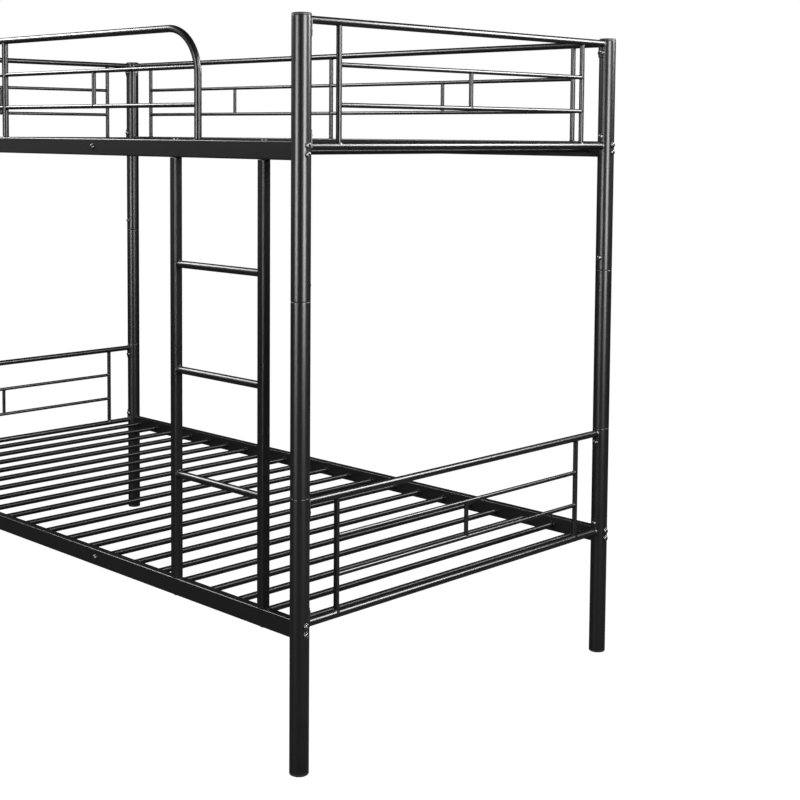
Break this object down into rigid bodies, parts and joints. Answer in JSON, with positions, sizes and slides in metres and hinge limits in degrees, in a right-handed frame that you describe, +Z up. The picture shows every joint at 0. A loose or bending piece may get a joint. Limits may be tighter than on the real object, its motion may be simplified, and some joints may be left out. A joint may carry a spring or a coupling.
{
  "type": "bunk bed",
  "caption": "Metal twin-over-twin bunk bed: round posts, slatted decks, rod end panels, guard rails and a fixed upright ladder at the front.",
  "frame": {"origin": "on the floor, under the middle of the bed", "axes": "+X along the bed towards the ladder end, +Y from the front to the back, +Z up"},
  "size_m": [1.99, 1.05, 1.5225],
  "materials": {
    "post_steel": "black satin powder coat",
    "rail_steel": "black satin powder coat",
    "slat_steel": "black satin powder coat",
    "cap_plastic": "black moulded plastic",
    "bolt_steel": "black oxide"
  },
  "bodies": {
    "root": {"lower_post_front_left": "post_steel", "middle_post_front_left": "post_steel", "upper_post_front_left": "post_steel", "foot_cap_front_left": "cap_plastic", "top_cap_front_left": "cap_plastic", "joint_bolt_front_left": "bolt_steel", "lower_post_front_right": "post_steel", "middle_post_front_right": "post_steel", "upper_post_front_right": "post_steel", "foot_cap_front_right": "cap_plastic", "top_cap_front_right": "cap_plastic", "joint_bolt_front_right": "bolt_steel", "lower_post_back_left": "post_steel", "middle_post_back_left": "post_steel", "upper_post_back_left": "post_steel", "foot_cap_back_left": "cap_plastic", "top_cap_back_left": "cap_plastic", "joint_bolt_back_left": "bolt_steel", "lower_post_back_right": "post_steel", "middle_post_back_right": "post_steel", "upper_post_back_right": "post_steel", "foot_cap_back_right": "cap_plastic", "top_cap_back_right": "cap_plastic", "joint_bolt_back_right": "bolt_steel", "lower_end_panel_left": "rail_steel", "lower_end_panel_right": "rail_steel", "lower_side_rail_front": "rail_steel", "lower_side_rail_back": "rail_steel", "lower_slat_row_1": "slat_steel", "lower_slat_row_2": "slat_steel", "lower_slat_row_3": "slat_steel", "lower_slat_row_4": "slat_steel", "lower_slat_row_5": "slat_steel", "lower_slat_row_6": "slat_steel", "lower_slat_row_7": "slat_steel", "upper_end_panel_left": "rail_steel", "upper_end_panel_right": "rail_steel", "upper_side_rail_front": "rail_steel", "upper_side_rail_back": "rail_steel", "upper_slat_row_1": "slat_steel", "upper_slat_row_2": "slat_steel", "upper_slat_row_3": "slat_steel", "upper_slat_row_4": "slat_steel", "upper_slat_row_5": "slat_steel", "upper_slat_row_6": "slat_steel", "upper_slat_row_7": "slat_steel", "guard_rail_back": "rail_steel", "guard_rail_front": "rail_steel", "ladder": "rail_steel", "ladder_bolt_upper_left": "bolt_steel", "ladder_bolt_upper_right": "bolt_steel", "ladder_bolt_lower_left": "bolt_steel", "ladder_bolt_lower_right": "bolt_steel"}
  },
  "joints": []
}
